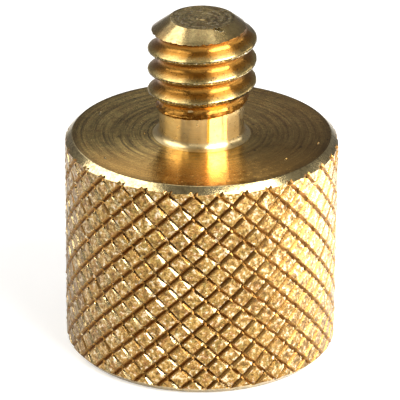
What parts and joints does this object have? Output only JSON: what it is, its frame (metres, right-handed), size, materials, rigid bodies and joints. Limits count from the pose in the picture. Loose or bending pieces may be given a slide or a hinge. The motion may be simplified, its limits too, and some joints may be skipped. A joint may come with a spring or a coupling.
{
  "type": "tripod thread adapter",
  "caption": "Knurled brass cylinder with a threaded stud on top and a threaded socket in its base, for joining camera supports with different threads.",
  "frame": {"origin": "centre of the flat base, at the mouth of the threaded socket", "axes": "+Z along the common axis of both threads, up the stud; -Y is the front"},
  "size_m": [0.016, 0.016, 0.0203],
  "materials": {
    "brass": "turned and knurled, uncoated, slightly tarnished"
  },
  "bodies": {
    "root": {"thread_adapter": "brass"}
  },
  "joints": []
}
